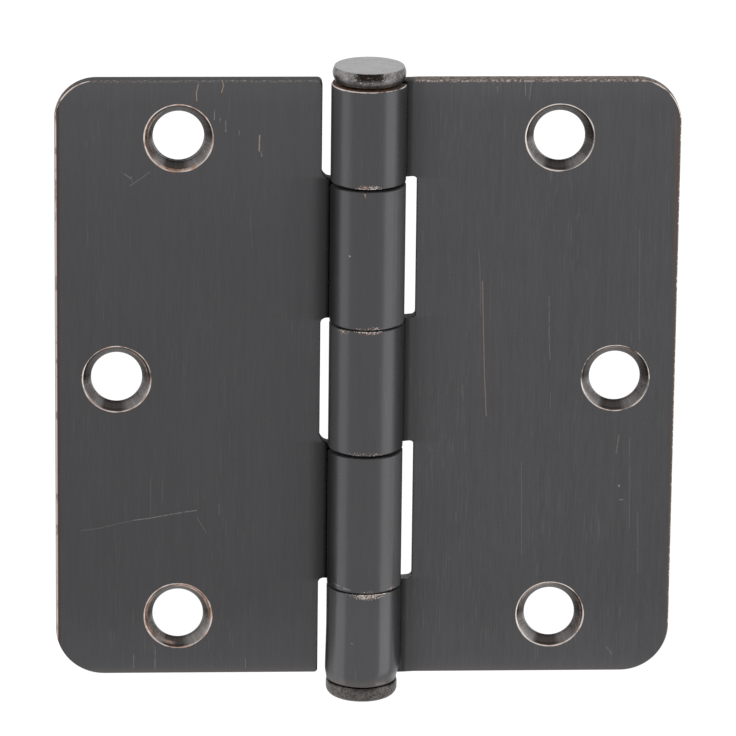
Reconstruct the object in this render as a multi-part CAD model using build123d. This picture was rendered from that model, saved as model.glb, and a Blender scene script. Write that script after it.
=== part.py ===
from build123d import *
import math
import os

# Driving dimensions, in millimetres and degrees. The pin axis is Z, the leaves lie open along X,
# and the countersunk faces look towards -Y.

# Leaves
HINGE_HEIGHT = 88.9
OPEN_WIDTH = 88.9
SHEET = 2.2
CORNER_RADIUS = 6.35
CLOSED_GAP = 1.6
SWAGE_RADIUS = 6.0
EDGE_BREAK = 0.25

# Screw holes
HOLE_DIAMETER = 7.3
COUNTERSINK_DIAMETER = 9.75
COUNTERSINK_ANGLE = 82.0
HOLE_END_MARGIN = 8.5
HOLE_EDGE_MARGIN = 8.6
HOLE_STAGGER = 8.8

# Knuckles
END_KNUCKLE = 14.2
CENTRE_KNUCKLE = 18.6
AXIAL_PLAY = 0.6
REST_CLEARANCE = 0.1
SEAM_GAP = 0.25
JAMB_SLOT_CLEARANCE = 1.75
DOOR_SLOT_CLEARANCE = 1.3
SLOT_CORNER_RADIUS = 0.9
SLOT_MOUTH_RADIUS = 0.35
FREE_END_RADIUS = 1.2

# Pin
PIN_DIAMETER = 6.25
PIN_CLEARANCE = 0.05
PIN_TIP_CHAMFER = 0.8
PIN_END_GAP = 1.5
NECK_LEDGE = 1.2
NECK_HEIGHT = 0.35
HEAD_INSET = 0.18
HEAD_HEIGHT = 2.2
HEAD_TOP_INSET = 0.22
HEAD_UNDER_INSET = 0.35

# Plug in the lowest knuckle
PLUG_STUB = 3.2
PLUG_PRESS = 0.01
PLUG_INSET = 0.22
PLUG_HEIGHT = 2.75
PLUG_TOP_CHAMFER = 0.25
PLUG_BOTTOM_RADIUS = 0.6

# Sizes that follow
half_height = HINGE_HEIGHT / 2
half_width = OPEN_WIDTH / 2
leaf_front = CLOSED_GAP / 2
leaf_back = leaf_front + SHEET
bore_radius = PIN_DIAMETER / 2 + PIN_CLEARANCE
barrel_radius = bore_radius + SHEET
jamb_slot_length = (HINGE_HEIGHT - 2 * END_KNUCKLE - CENTRE_KNUCKLE) / 2
door_knuckle = jamb_slot_length - AXIAL_PLAY

# Levels of the knuckle ends along the pin, from the middle upwards or downwards
centre_end = CENTRE_KNUCKLE / 2
end_start = half_height - END_KNUCKLE
upper_door_low = centre_end + REST_CLEARANCE
upper_door_high = upper_door_low + door_knuckle
lower_door_low = REST_CLEARANCE - end_start
lower_door_high = lower_door_low + door_knuckle


def sheet_section():
    """The rolled sheet seen along the pin, for a leaf on +X: flat, swage bend and curl."""
    curl_middle = bore_radius + SHEET / 2
    swage_rise = leaf_front + SHEET / 2 + SWAGE_RADIUS
    turn = math.degrees(math.acos(swage_rise / (curl_middle + SWAGE_RADIUS)))
    bend_start = (curl_middle + SWAGE_RADIUS) * math.sin(math.radians(turn))
    curl_start = 90 - turn
    curl_end = 360 + math.degrees(math.asin((leaf_front - SEAM_GAP) / barrel_radius))
    curl_sweep = curl_end - curl_start
    bend_centre = (bend_start, swage_rise)
    front_bend = CenterArc(bend_centre, SWAGE_RADIUS + SHEET / 2, -90 - turn, turn)
    back_bend = CenterArc(bend_centre, SWAGE_RADIUS - SHEET / 2, -90 - turn, turn)
    bore = CenterArc((0, 0), bore_radius, curl_start, curl_sweep)
    barrel = CenterArc((0, 0), barrel_radius, curl_start, curl_sweep)
    front_flat = Line((bend_start, leaf_front), (half_width, leaf_front))
    back_flat = Line((bend_start, leaf_back), (half_width, leaf_back))
    outer_end = Line((half_width, leaf_front), (half_width, leaf_back))
    free_end = Line(bore @ 1, barrel @ 1)
    return make_face([front_flat, front_bend, bore, free_end, barrel, back_bend, back_flat, outer_end])


def slot(low, high, clearance):
    """Cutter for the room of another leaf's knuckle between two levels, its corners rounded."""
    reach = 2 * barrel_radius
    edge = barrel_radius + clearance
    block = Pos((edge - reach) / 2, 0, (low + high) / 2) * Box(edge + reach, 2 * reach, high - low)
    corners = block.edges().filter_by(Axis.Y).group_by(Axis.X)[-1]
    return fillet(corners, SLOT_CORNER_RADIUS)


def screw_hole(from_axis, level):
    """Cutter for a clearance hole with its countersink on the leaf's front face."""
    hole_radius = HOLE_DIAMETER / 2
    rim_radius = COUNTERSINK_DIAMETER / 2
    flare = math.tan(math.radians(COUNTERSINK_ANGLE / 2))
    depth = (rim_radius - hole_radius) / flare
    section = Polyline(
        (0, -SHEET),
        (rim_radius + SHEET * flare, -SHEET),
        (hole_radius, depth),
        (hole_radius, 2 * SHEET),
        (0, 2 * SHEET),
        close=True,
    )
    cutter = revolve(make_face(section), Axis.Y)
    return Pos(from_axis, leaf_front, level) * cutter


def leaf(slots, clearance):
    """One leaf on +X with its knuckles, cut from the rolled sheet."""
    blank = extrude(sheet_section(), half_height, both=True)
    corners = blank.edges().filter_by(Axis.Y).group_by(Axis.X)[-1]
    body = fillet(corners, CORNER_RADIUS)
    for low, high in slots:
        body -= slot(low, high, clearance)
    body = fillet([e for e in body.edges() if is_free_corner(e)], FREE_END_RADIUS)
    mouths = [e for e in body.edges() if is_slot_mouth(e, barrel_radius + clearance)]
    if mouths:
        body = fillet(mouths, SLOT_MOUTH_RADIUS)
    body = fillet([e for e in body.edges() if is_outline(e)], EDGE_BREAK)
    middle_hole = half_width - HOLE_EDGE_MARGIN
    end_hole = half_height - HOLE_END_MARGIN
    body -= screw_hole(middle_hole, 0)
    for level in (-end_hole, end_hole):
        body -= screw_hole(middle_hole - HOLE_STAGGER, level)
    return body


def is_free_corner(edge):
    """True for an edge across the curl's free end, at the top or bottom of a knuckle."""
    start = edge @ 0
    end = edge @ 1
    radii = sorted((math.hypot(start.X, start.Y), math.hypot(end.X, end.Y)))
    level = abs(start.Z - end.Z) < 1e-6
    return level and abs(radii[0] - bore_radius) < 1e-6 and abs(radii[1] - barrel_radius) < 1e-6


def is_slot_mouth(edge, slot_edge):
    """True for a corner where a slot opens through the top or bottom edge of the leaf."""
    middle = edge @ 0.5
    through = abs((edge % 0.5).Y) > 1 - 1e-6
    return through and abs(middle.X - slot_edge) < 1e-6 and abs(abs(middle.Z) - half_height) < 1e-6


def is_outline(edge):
    """True for an edge of the sheet's front or back outline, as against one through its thickness."""
    middle = edge @ 0.5
    direction = edge % 0.5
    on_faces = abs(middle.Y - leaf_front) < 1e-6 or abs(middle.Y - leaf_back) < 1e-6
    return on_faces and abs(direction.Y) < 1e-6


def headed_pin():
    """Loose pin: chamfered tip, shank, neck that sits on the top knuckle, and a flat-topped head."""
    shank = PIN_DIAMETER / 2
    tip = PLUG_STUB + PIN_END_GAP - half_height
    neck = bore_radius + NECK_LEDGE
    under = half_height + NECK_HEIGHT
    top = under + HEAD_HEIGHT
    head = barrel_radius - HEAD_INSET
    under_edge = (head - HEAD_UNDER_INSET, under)
    top_edge = (head - HEAD_TOP_INSET, top)
    side = ThreePointArc(under_edge, (head, under + HEAD_HEIGHT / 2), top_edge)
    outline = Polyline(
        top_edge,
        (0, top),
        (0, tip),
        (shank - PIN_TIP_CHAMFER, tip),
        (shank, tip + PIN_TIP_CHAMFER),
        (shank, half_height),
        (neck, half_height),
        (neck, under),
        under_edge,
    )
    section = make_face([outline, side])
    return revolve(Plane.XZ * section, Axis.Z)


def knuckle_plug():
    """Button pressed into the lowest knuckle: a short stub and a rounded disc below it."""
    stub = bore_radius + PLUG_PRESS
    disc = barrel_radius - PLUG_INSET
    seat = -half_height
    bottom = seat - PLUG_HEIGHT
    round_start = (disc, bottom + PLUG_BOTTOM_RADIUS)
    round_end = (disc - PLUG_BOTTOM_RADIUS, bottom)
    rounding = RadiusArc(round_start, round_end, PLUG_BOTTOM_RADIUS)
    outline = Polyline(
        round_end,
        (0, bottom),
        (0, seat + PLUG_STUB),
        (stub, seat + PLUG_STUB),
        (stub, seat),
        (disc - PLUG_TOP_CHAMFER, seat),
        (disc, seat - PLUG_TOP_CHAMFER),
        round_start,
    )
    section = make_face([outline, rounding])
    return revolve(Plane.XZ * section, Axis.Z)


# The jamb leaf leaves room for the two door knuckles, and the door leaf for the other three.
past_end = half_height + 2 * SLOT_CORNER_RADIUS
jamb_slots = [(centre_end, end_start), (-end_start, -centre_end)]
door_slots = [
    (upper_door_high, past_end),
    (lower_door_high, upper_door_low),
    (-past_end, lower_door_low),
]

jamb_leaf = leaf(jamb_slots, JAMB_SLOT_CLEARANCE)
door_leaf = mirror(leaf(door_slots, DOOR_SLOT_CLEARANCE), Plane.YZ)

nodes = {
    "jamb_leaf": jamb_leaf,
    "door_leaf": door_leaf,
    "hinge_pin": headed_pin(),
    "bottom_plug": knuckle_plug(),
}
os.makedirs("parts", exist_ok=True)
for name, shape in nodes.items():
    export_step(shape, f"parts/{name}.step")
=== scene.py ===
import math
from types import SimpleNamespace

import bpy
import numpy as np
from mathutils import Matrix, Vector


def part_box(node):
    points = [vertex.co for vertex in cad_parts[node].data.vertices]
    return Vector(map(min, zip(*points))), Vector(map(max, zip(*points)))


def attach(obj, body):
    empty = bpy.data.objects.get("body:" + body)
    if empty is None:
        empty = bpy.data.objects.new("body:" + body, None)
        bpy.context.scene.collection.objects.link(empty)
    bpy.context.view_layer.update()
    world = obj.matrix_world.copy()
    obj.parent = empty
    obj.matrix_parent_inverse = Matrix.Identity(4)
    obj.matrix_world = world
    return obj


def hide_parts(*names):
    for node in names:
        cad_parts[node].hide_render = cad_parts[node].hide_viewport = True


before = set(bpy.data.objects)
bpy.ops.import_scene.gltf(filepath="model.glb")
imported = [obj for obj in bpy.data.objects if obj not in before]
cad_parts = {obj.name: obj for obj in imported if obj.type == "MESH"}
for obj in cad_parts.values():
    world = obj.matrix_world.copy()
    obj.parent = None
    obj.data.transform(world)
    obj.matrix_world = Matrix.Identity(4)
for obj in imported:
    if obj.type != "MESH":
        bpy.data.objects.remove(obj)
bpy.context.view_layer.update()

# Driving sizes of the hinge, in millimetres and degrees. The pin axis is Z, the leaves lie open along X,
# and the countersunk faces look towards -Y.
MM = 0.001
leaf_low, leaf_high = (np.array(corner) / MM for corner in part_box("jamb_leaf"))
pin_low, pin_high = (np.array(corner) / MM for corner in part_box("hinge_pin"))
plug_low, plug_high = (np.array(corner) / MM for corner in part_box("bottom_plug"))
HALF_HEIGHT = leaf_high[2]
HALF_WIDTH = leaf_high[0]
BARREL_RADIUS = min(-leaf_low[1], leaf_high[1]) - 0.001
BORE_RADIUS = 3.175
SHEET = 2.2
LEAF_FRONT = 0.8
SWAGE_RADIUS = 6.0
SEAM_GAP = 0.25
EDGE_ROUND = 0.25
SLOT_ROUND = 0.07
FREE_CORNER = 1.2

# Screw holes, whose bore shows the sheared edge's finish from some depth on
HOLE_RADIUS = 3.65
RIM_RADIUS = 4.875
COUNTERSINK_ANGLE = 82.0
RIM_ROUND = 0.2
HOLE_ROUND = 0.12
HOLE_BLOCK = 7.0
SHEARED_DEPTH = SHEET / 2 + 0.35

# Corners where the door leaf's slots open through its lower and upper edge
MOUTH_CORNERS = {-1: 0.5, 1: 0.7}

# The knuckles crept down the pin a little as they were rolled. The lowest is also drawn in at its free end,
# and flared to the left above it.
TOP_CREEP = 0.18
CREEP_START = 0.7
CREEP_LENGTH = 4.5
END_DRAW = 0.5
DRAW_LENGTH = 1.9
LEFT_DRAW = 0.16
LEFT_LENGTH = 1.0
END_FLARE = 0.13
FLARE_START = -36.0
FLARE_LENGTH = 8.0

# Pin and plug
SHANK_RADIUS = 3.125
TIP_RADIUS = 2.325
TIP_CHAMFER = 0.8
NECK_RADIUS = 4.375
HEAD_RADIUS = pin_high[0]
HEAD_TOP_RADIUS = HEAD_RADIUS - 0.22
HEAD_UNDER_RADIUS = HEAD_RADIUS - 0.35
PIN_TOP = pin_high[2] - 0.2
HEAD_UNDER = PIN_TOP - 2.2
HEAD_ROUND = 0.16
TURNED_BREAK = 0.03
NECK_BREAK = 0.02
PLUG_RADIUS = plug_high[0]
PLUG_TOP = -HALF_HEIGHT - 0.36
PLUG_TOP_ROUND = 0.35
PLUG_BOTTOM_ROUND = 1.1
PLUG_SIDEWAYS = -0.2
SIDEWAYS_LENGTH = 0.25

# Wear of the sheared outline, where a leaf gives none of its own: lower edge, lower corners, slots and
# knuckles, and the top knuckle's rim, which is rubbed more to the left and less to the right
LOWER_WEAR = 0.25
LOWER_CORNER_WEAR = 0.3
SLOT_WEAR = 0.1
TOP_RIM_WEAR = 0.74
TOP_RIM_LEFT = 0.22
TOP_RIM_RIGHT = 0.16
TOP_RIM_RAGGED = 0.3

# Where the wear lies: reach from the hinge's ends, the slots and a rubbed rim, a corner's least slant, and
# the turns at which the knuckles' front and the top rim's wear begin
END_ZONE = 1.0
SLOT_ZONE = 1.5
RIM_ZONE = 0.3
CORNER_SLANT = 0.12
FRONT_TURN = 1.1 * math.pi
TOP_RIM_TURN = 0.8 * math.pi

# Spacing of the surface grids, and the levels and bands of the sheared wall between its rounded edges
PLATE_STEP = 0.9
CURL_STEP = 0.34
EDGE_STEP = 0.12
CORNER_STEPS = 8
SMALL_CORNER_STEPS = 4
FAN_STEPS = 6
FAN_REACH = 4
HOLE_RINGS = 6
TURNED_STEPS = 128
SHANK_RINGS = 40
HEAD_STEPS = 14
FOOT_STEPS = 8
DISC_CORNER = -0.375
WALL_SHARES = [0.36, 0.64]
WALL_BANDS = [3, 4, 5, 6, 7]
SAME_LINE = 1e-4
JUST_PAST = 1.001
TINY = 1e-9

# The rolled sheet seen along the pin: flat leaf, swage bend, then the curl round the bore
CURL_MIDDLE = BORE_RADIUS + SHEET / 2
SWAGE_RISE = LEAF_FRONT + SHEET / 2 + SWAGE_RADIUS
SWAGE_TURN = math.acos(SWAGE_RISE / (CURL_MIDDLE + SWAGE_RADIUS))
BEND_START = (CURL_MIDDLE + SWAGE_RADIUS) * math.sin(SWAGE_TURN)
CURL_START = BEND_START - SWAGE_RADIUS * SWAGE_TURN
CURL_FIRST_ANGLE = math.pi / 2 - SWAGE_TURN
CURL_LAST_ANGLE = 2 * math.pi + math.asin((LEAF_FRONT - SEAM_GAP) / BARREL_RADIUS)
SHEET_END = CURL_START - CURL_MIDDLE * (CURL_LAST_ANGLE - CURL_FIRST_ANGLE)

# The outline of the flat grids, which lies an edge rounding inside the blank's
GRID_END = SHEET_END + EDGE_ROUND
GRID_OUTER = HALF_WIDTH - EDGE_ROUND
GRID_TOP = HALF_HEIGHT - EDGE_ROUND

# Scratches on the leaves' fronts: points across and up in millimetres, width, and strength
DOOR_COPPER_MARKS = [
    ([(-24.11, 43.87), (-24.38, 42.58), (-24.33, 41.46)], 0.24, 0.55),
    ([(-20.77, 44.57), (-20.55, 43.68), (-20.82, 42.67)], 0.22, 0.6),
    ([(-15.41, 36.37), (-15.47, 34.12)], 0.3, 0.6),
    ([(-0.72, 29.32), (-0.68, 29.2)], 0.34, 0.8),
    ([(-0.62, 28.98), (-0.6, 28.92)], 0.3, 0.6),
]
DOOR_PALE_MARKS = [
    ([(-21.81, 40.1), (-21.84, 38.65)], 0.2, 0.4),
    ([(-20.99, 38.86), (-20.99, 38.41)], 0.22, 0.4),
    ([(-20.24, 38.52), (-20.2, 36.95)], 0.22, 0.4),
    ([(-18.3, 37.06), (-18.3, 36.38)], 0.18, 0.25),
    ([(-15.19, 34.0), (-15.08, 33.32)], 0.22, 0.4),
    ([(-40.76, -22.53), (-38.28, -22.2), (-35.14, -21.43), (-33.15, -20.98)], 0.2, 0.13),
    ([(-33.15, -20.98), (-31.16, -20.74), (-28.35, -20.22), (-25.87, -19.77), (-24.21, -19.55)], 0.22, 0.32),
    ([(-24.12, -20.58), (-23.63, -21.45), (-22.79, -22.86)], 0.18, 0.16),
    ([(-20.98, -18.59), (-20.89, -20.25)], 0.18, 0.16),
    ([(-30.79, -14.74), (-30.79, -20.38)], 0.16, 0.1),
    ([(-29.06, -14.76), (-29.06, -18.26)], 0.16, 0.1),
    ([(-34.55, 30.78), (-33.56, 30.04)], 0.22, 0.28),
    ([(-33.56, 30.48), (-33.42, 29.59)], 0.2, 0.22),
    ([(-33.77, 29.01), (-32.07, 30.18), (-30.94, 31.05)], 0.2, 0.2),
    ([(-2.8, 20.14), (-2.7, 20.06)], 0.3, 0.8),
    ([(-33.2, -41.6), (-33.25, -43.6)], 0.18, 0.25),
    ([(-30.1, -40.4), (-30.15, -43.8)], 0.2, 0.25),
    ([(-17.0, -42.3), (-17.0, -43.7)], 0.18, 0.2),
    ([(-4.5, -29.45), (-3.7, -29.6)], 0.2, 0.4),
    ([(-3.1, -29.75), (-2.2, -29.85)], 0.22, 0.45),
]
JAMB_COPPER_MARKS = [
    ([(16.54, 14.73), (16.78, 7.53), (17.06, 0.46), (17.4, -5.44)], 0.24, 0.3),
    ([(36.59, -8.4), (36.25, -11.21)], 0.22, 0.25),
]
JAMB_PALE_MARKS = [
    ([(15.89, 19.5), (16.16, 16.52), (16.33, 9.49)], 0.18, 0.13),
    ([(26.12, 12.41), (26.24, 6.41), (26.42, 2.95)], 0.2, 0.2),
    ([(26.59, -1.89), (26.64, -4.46)], 0.18, 0.12),
    ([(13.95, -0.73), (14.03, -3.15)], 0.18, 0.12),
    ([(38.86, 22.33), (39.26, 5.86)], 0.18, 0.1),
    ([(36.78, -16.05), (36.8, -16.23)], 0.3, 0.7),
    ([(36.93, -18.25), (37.37, -18.25)], 0.22, 0.4),
    ([(38.14, -8.96), (38.46, -22.71)], 0.18, 0.13),
    ([(39.58, -20.27), (39.8, -29.49)], 0.18, 0.12),
    ([(22.6, -12.5), (22.75, -19.5), (22.85, -26.5)], 0.18, 0.13),
    ([(35.5, -40.8), (36.3, -41.9)], 0.2, 0.25),
    ([(22.13, 44.3), (22.2, 42.1)], 0.2, 0.3),
    ([(23.0, 44.3), (22.75, 41.6)], 0.2, 0.25),
    ([(18.17, 43.43), (18.18, 42.69)], 0.2, 0.3),
    ([(-1.88, -37.92), (-1.82, -38.0)], 0.26, 0.4),
]

# Bright nicks on the front of the pin's head, likewise
HEAD_NICKS = [
    ([(-1.55, PIN_TOP - 1.32), (-1.4, PIN_TOP - 1.3)], 0.26, 0.9),
    ([(-0.95, PIN_TOP - 1.42), (-0.9, PIN_TOP - 1.44)], 0.2, 0.6),
    ([(-0.45, PIN_TOP - 1.36), (-0.4, PIN_TOP - 1.32)], 0.22, 0.7),
    ([(0.1, PIN_TOP - 1.3), (0.16, PIN_TOP - 1.26)], 0.22, 0.7),
    ([(-1.15, PIN_TOP - 1.65), (-1.1, PIN_TOP - 1.66)], 0.18, 0.5),
]

# The two leaves. Pairs go from the lower to the upper end: knuckles' levels, how far they crept down the pin,
# and slot corners; outer corners are keyed by lower and upper. A hole has its distance from the axis, level,
# breakout at the back and rim wear. A rubbed stretch of a knuckle's rim has its level, middle across, half
# length and wear. A rubbed arc on a countersink has its hole's number, first and last angle, radius, width
# and strength. A patch of rim flecks has its middle, two half sizes and strength. Lightening of the ends and
# the painted shade in the crease go from one distance to another, by a share. A cone's painted highlight
# faces an angle, from a least cosine, by a share. The painted sheen and highlight on the barrel's sides, and
# the painted sheen on the lowest knuckle, are shares.
JAMB = SimpleNamespace(
    side=1.0,
    knuckles=[(30.43, HALF_HEIGHT), (-8.99, 9.4), (-HALF_HEIGHT, -30.05)],
    creep=[(0.46, TOP_CREEP), (0.57, 0.28), (0.28, 0.38)],
    slot_corners=[(0.8, 0.8), (0.8, 0.55), (0.8, 0.55)],
    slot_edge=7.04,
    corners={-1: 6.95, 1: 6.35},
    holes=[(27.22, 35.96, 0.16, 1.1), (35.86, 0.17, 0.38, 0.95), (27.12, -35.71, 0.42, 1.1)],
    corner_wear=0.8,
    top_wear=0.37,
    outer_wear=0.42,
    rubbed_rims=[
        (29.97, -0.2, 2.3, 0.74),
        (9.12, -0.1, 2.4, 0.66),
        (-30.43, 1.2, 2.6, 0.68),
        (-9.56, 0.0, 3.2, 0.48),
    ],
    tone=0.072,
    grain=0.13,
    ends=[(20.0, 44.0, 0.03), (40.0, 44.6, 0.08), (-32.0, -42.5, 0.06), (-41.5, -44.4, 0.08)],
    outer_rub=0.0,
    outer_band=(0.05, 0.4),
    outer_tone=(0.1, 0.077, 0.067),
    top_rub=0.85,
    barrel_light=0.01,
    lowest_painted_sheen=0.055,
    hairs=0.16,
    crease_shade=[(8.8, 6.5, 0.2), (6.5, 5.9, 0.36)],
    free_painted_sheen=0.3,
    free_painted_highlight=0.0,
    leaf_side_sheen=0.2,
    copper_share=0.36,
    cone_painted_highlight=[(212, 0.8, 1.0), (322, 0.7, 0.45)],
    rim_flecks=[
        ((-0.1, 30.25), 2.6, 0.65, 0.9),
        ((0.3, 8.95), 2.4, 0.5, 0.8),
        ((-3.4, 8.85), 1.2, 0.5, 0.6),
        ((0.0, -9.3), 4.2, 0.5, 0.4),
        ((0.2, -30.8), 3.2, 0.7, 0.9),
        ((0.0, -30.6), 4.4, 0.4, 0.6),
    ],
    rubbed_arcs=[
        (2, 75, 170, 4.66, 0.5, 0.45),
        (2, -45, 40, 4.56, 0.26, 0.5),
        (1, 40, 120, 4.6, 0.3, 0.35),
    ],
    copper_marks=JAMB_COPPER_MARKS,
    pale_marks=JAMB_PALE_MARKS,
)
DOOR = SimpleNamespace(
    side=-1.0,
    knuckles=[(9.4, 30.11), (-29.84, -9.25)],
    creep=[(0.18, 0.46), (0.49, 0.65)],
    slot_corners=[(0.8, 1.25), (0.8, 1.25)],
    slot_edge=6.56,
    corners={-1: 6.95, 1: 5.95},
    holes=[(26.87, 35.96, 0.0, 1.35), (35.65, 0.29, 0.22, 1.0), (26.83, -35.62, 0.36, 1.15)],
    corner_wear=0.84,
    top_wear=0.34,
    outer_wear=0.2,
    rubbed_rims=[(9.22, 1.6, 1.2, 0.4), (-30.33, -2.4, 1.4, 0.4)],
    tone=0.0645,
    grain=0.09,
    ends=[(20.0, 42.0, 0.07), (40.0, 44.6, 0.08), (-32.0, -42.5, 0.075), (-41.5, -44.4, 0.07)],
    outer_rub=1.0,
    outer_band=(0.3, 0.38),
    outer_tone=(0.07, 0.046, 0.039),
    top_rub=0.2,
    barrel_light=0.07,
    lowest_painted_sheen=0.0,
    hairs=0.1,
    crease_shade=[(8.4, 5.9, 0.62)],
    free_painted_sheen=0.5,
    free_painted_highlight=0.4,
    leaf_side_sheen=0.15,
    copper_share=0.46,
    cone_painted_highlight=[(212, 0.8, 0.88), (322, 0.7, 0.62)],
    rim_flecks=[
        ((0.3, 9.5), 3.0, 0.4, 0.6),
        ((0.2, -30.12), 2.2, 0.35, 0.6),
        ((3.9, -30.0), 1.0, 0.4, 0.7),
    ],
    rubbed_arcs=[
        (0, 115, 232, 4.36, 0.24, 0.95),
        (0, 135, 240, 4.74, 0.45, 0.75),
        (0, 222, 318, 4.74, 0.42, 0.75),
        (1, -15, 70, 4.46, 0.24, 0.6),
        (2, -20, 105, 4.66, 0.75, 1.0),
        (2, 130, 232, 4.64, 0.7, 0.95),
        (2, 200, 270, 4.4, 0.5, 0.5),
    ],
    copper_marks=DOOR_COPPER_MARKS,
    pale_marks=DOOR_PALE_MARKS,
)


def eased(share):
    """A smooth step: nought up to nought, one from one on, and three squares less two cubes between."""
    share = np.clip(share, 0, 1)
    return share**2 * (3 - 2 * share)


def fold(along, level, depth):
    """Rolls the flat blank up into the leaf.

    A point of the blank lies at a distance along the sheet, a level up the pin and a depth behind the front
    face. Past the bend start the sheet follows a circle about the swage centre, through an angle of distance
    over swage radius. Past the curl start it follows a circle about the pin, through an angle of distance
    over the curl's middle radius, and depth becomes radius. At the hinge's lower end the curl's outside is
    drawn in towards the right, and a little less towards the left, by a smooth step, and above that it is
    flared towards the left by another.
    """
    bend = np.clip((BEND_START - along) / SWAGE_RADIUS, 0, SWAGE_TURN)
    bend_radius = SWAGE_RADIUS + SHEET / 2 - depth
    flat_x = np.maximum(along, BEND_START) - bend_radius * np.sin(bend)
    flat_y = SWAGE_RISE - bend_radius * np.cos(bend)
    turn = CURL_FIRST_ANGLE + np.maximum(CURL_START - along, 0) / CURL_MIDDLE
    to_right = np.where(turn > math.pi, np.maximum(np.cos(turn), 0), 0)
    to_left = np.maximum(-np.cos(turn), 0) ** 2
    drawn = END_DRAW * to_right * eased((DRAW_LENGTH - HALF_HEIGHT - level) / DRAW_LENGTH)
    drawn = drawn + LEFT_DRAW * to_left * eased((LEFT_LENGTH - HALF_HEIGHT - level) / LEFT_LENGTH)
    flared = END_FLARE * to_left * eased((FLARE_START - level) / FLARE_LENGTH)
    radius = BORE_RADIUS + depth * (BARREL_RADIUS - BORE_RADIUS - drawn + flared) / SHEET
    curled = along < CURL_START
    x = np.where(curled, radius * np.cos(turn), flat_x)
    y = np.where(curled, radius * np.sin(turn), flat_y)
    return np.stack(np.broadcast_arrays(x, y, level), axis=-1)


def filled(lines, step):
    """The lines in order, with every span wider than the step divided evenly."""
    lines = np.unique(np.round(lines, 5))
    spans = np.diff(lines)
    counts = np.maximum(1, np.ceil(spans / step)).astype(int)
    first = np.repeat(np.cumsum(counts) - counts, counts)
    share = (np.arange(counts.sum()) - first) / np.repeat(counts, counts)
    return np.append(np.repeat(lines[:-1], counts) + np.repeat(spans, counts) * share, lines[-1])


def corner_lines(radius, steps):
    """Distances from a round corner's centre whose lines meet the arc at even angles.

    They are tangents of those angles times the radius, less the edge rounding.
    """
    return (radius - EDGE_ROUND) * np.tan(np.linspace(0, math.pi / 4, steps + 1))


def round_corner(along, level, centre, towards, radius):
    """Draws a square corner of the grid in to a round one.

    With a and b the distances from the corner's centre, both are multiplied by max(a, b) / hypot(a, b), so
    each square line about the centre becomes a circle.
    """
    a = (along - centre[0]) * towards[0] / radius
    b = (level - centre[1]) * towards[1] / radius
    inside = (a > 0) & (b > 0) & (a < JUST_PAST) & (b < JUST_PAST)
    pull = np.where(inside, np.maximum(a, b) / np.maximum(np.hypot(a, b), TINY), 1)
    return centre[0] + (along - centre[0]) * pull, centre[1] + (level - centre[1]) * pull


def run(first, last):
    """Whole numbers from the first towards the last, without the last."""
    return np.arange(first, last, 1 if last > first else -1)


def joined(stretches):
    """Row and column numbers of several stretches of a grid, one after the other."""
    pairs = [np.broadcast_arrays(rows, columns) for rows, columns in stretches]
    return np.concatenate([pair[0] for pair in pairs]), np.concatenate([pair[1] for pair in pairs])


class Surface:
    """Points and four-sided faces of one piece. Points carry wear, raggedness and a place round a hole."""

    def __init__(self):
        self.places = []
        self.wear = []
        self.ragged = []
        self.round_hole = []
        self.faces = []
        self.sheared = []
        self.count = 0

    def add(self, places, wear=0.0, round_hole=0.0, ragged=0.0):
        """Adds an array of points and gives back their numbers, in the array's shape."""
        shape = places.shape[:-1]
        size = int(np.prod(shape))
        self.places.append(places.reshape(-1, 3))
        self.wear.append(np.broadcast_to(wear, shape).reshape(-1))
        self.ragged.append(np.broadcast_to(ragged, shape).reshape(-1))
        self.round_hole.append(np.broadcast_to(round_hole, shape + (3,)).reshape(-1, 3))
        numbers = np.arange(self.count, self.count + size).reshape(shape)
        self.count += size
        return numbers

    def cells(self, numbers, keep=None, flip=False, sheared=False):
        """Faces over a grid of numbers, where keep is true, in the main finish or the sheared edge's."""
        corners = [numbers[:-1, :-1], numbers[:-1, 1:], numbers[1:, 1:], numbers[1:, :-1]]
        faces = np.stack(corners[::-1] if flip else corners, axis=-1)
        keep = np.ones(faces.shape[:-1], dtype=bool) if keep is None else keep
        self.faces.append(faces[keep])
        self.sheared.append(np.broadcast_to(sheared, keep.shape)[keep])

    def bands(self, rings, flip=False, sheared=False):
        """Faces between successive closed rings of numbers."""
        closed = np.concatenate([rings, rings[:, :1]], axis=1)
        self.cells(closed, flip=flip, sheared=sheared)

    def mesh(self, name, mirrored=False):
        """Makes the mesh, mirrored in the YZ plane or not, without points that no face uses."""
        faces = np.concatenate(self.faces)
        used, corners = np.unique(faces, return_inverse=True)
        corners = corners.reshape(-1, 4)
        places = np.concatenate(self.places)[used] * MM
        if mirrored:
            places = places * np.array([-1.0, 1.0, 1.0])
            corners = corners[:, ::-1]
        mesh = bpy.data.meshes.new(name)
        mesh.vertices.add(len(used))
        mesh.vertices.foreach_set("co", places.astype(np.float32).ravel())
        mesh.loops.add(corners.size)
        mesh.loops.foreach_set("vertex_index", corners.astype(np.int32).ravel())
        mesh.polygons.add(len(corners))
        mesh.polygons.foreach_set("loop_start", np.arange(0, corners.size, 4, dtype=np.int32))
        mesh.update(calc_edges=True)
        mesh.polygons.foreach_set("use_smooth", np.ones(len(corners), dtype=bool))
        mesh.polygons.foreach_set("material_index", np.concatenate(self.sheared).astype(np.int32))
        for label, values in (("wear", self.wear), ("ragged", self.ragged)):
            layer = mesh.attributes.new(label, "FLOAT", "POINT")
            layer.data.foreach_set("value", np.concatenate(values)[used].astype(np.float32))
        around = mesh.attributes.new("round_hole", "FLOAT_VECTOR", "POINT")
        around.data.foreach_set("vector", np.concatenate(self.round_hole)[used].astype(np.float32).ravel())
        mesh.validate()
        return mesh


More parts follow.
